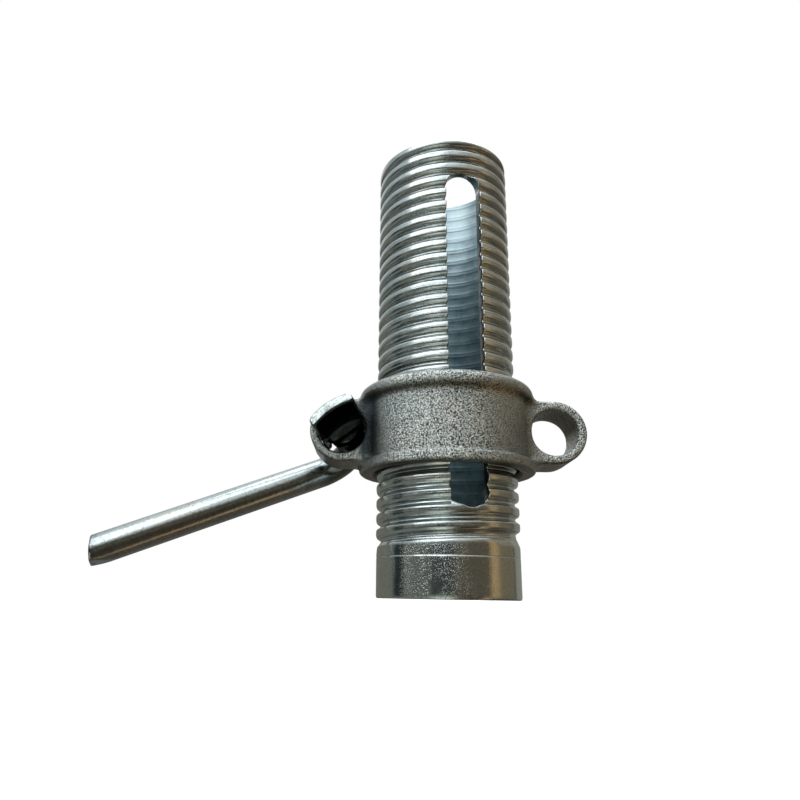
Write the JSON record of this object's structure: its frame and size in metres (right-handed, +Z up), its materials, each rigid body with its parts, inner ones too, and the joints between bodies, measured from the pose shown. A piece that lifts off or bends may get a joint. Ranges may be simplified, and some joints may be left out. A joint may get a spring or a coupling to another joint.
{
  "type": "threaded prop sleeve with eared nut",
  "caption": "Slotted steel tube sleeve with a coarse outside thread, a cast eared screw nut that travels along it, and a loose bent-bar handle that turns the nut.",
  "frame": {"origin": "centre of the sleeve's bottom face, on the sleeve's axis", "axes": "+Z up the sleeve's axis, +X through the free ear of the nut, -Y along the free ear's hole towards the handle's flattened end"},
  "size_m": [0.2144, 0.0762, 0.2],
  "materials": {
    "zinc_tube": "bright zinc plating on rolled steel tube, glossy",
    "zinc_casting": "zinc-plated grainy casting, semi-matte",
    "zinc_bar": "bright zinc plating on drawn round bar, glossy"
  },
  "bodies": {
    "sleeve": {"sleeve": "zinc_tube"},
    "nut": {"nut": "zinc_casting"},
    "handle": {"handle": "zinc_bar"}
  },
  "joints": [
    {"name": "nut_travel", "type": "slide", "parent": "sleeve", "child": "nut", "axis": [0, 0, 1], "range_m": [-0.01905, 0.10795]},
    {"name": "handle_swing", "type": "hinge", "parent": "nut", "child": "handle", "pos_m": [-0.0456, 0, 0.0697], "axis": [0, -1, 0], "range_deg": [-118, 66]}
  ]
}
